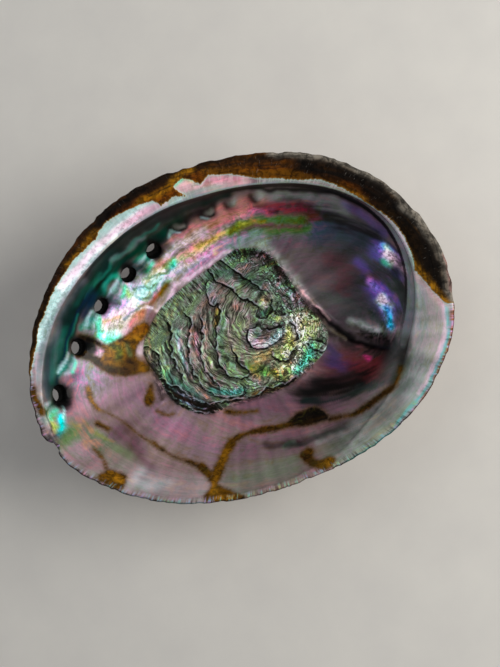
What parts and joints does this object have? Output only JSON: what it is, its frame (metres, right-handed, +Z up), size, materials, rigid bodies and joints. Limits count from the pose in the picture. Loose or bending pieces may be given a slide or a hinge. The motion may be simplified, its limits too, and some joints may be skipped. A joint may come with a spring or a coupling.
{
  "type": "abalone shell",
  "caption": "Ear-shaped sea shell lying on its back: a shallow pearly bowl with a columella shelf, a low off-centre spire and a curved row of open breathing holes.",
  "frame": {"origin": "under the middle of the shell's outline, on the surface it rests on", "axes": "+X along the shell, towards the spire end; +Y across it, towards the columella shelf and the row of holes; +Z up, out of the bowl's mouth"},
  "size_m": [0.1672, 0.1274, 0.0441],
  "materials": {
    "nacre": "gloss"
  },
  "bodies": {
    "root": {"shell": "nacre"}
  },
  "joints": []
}
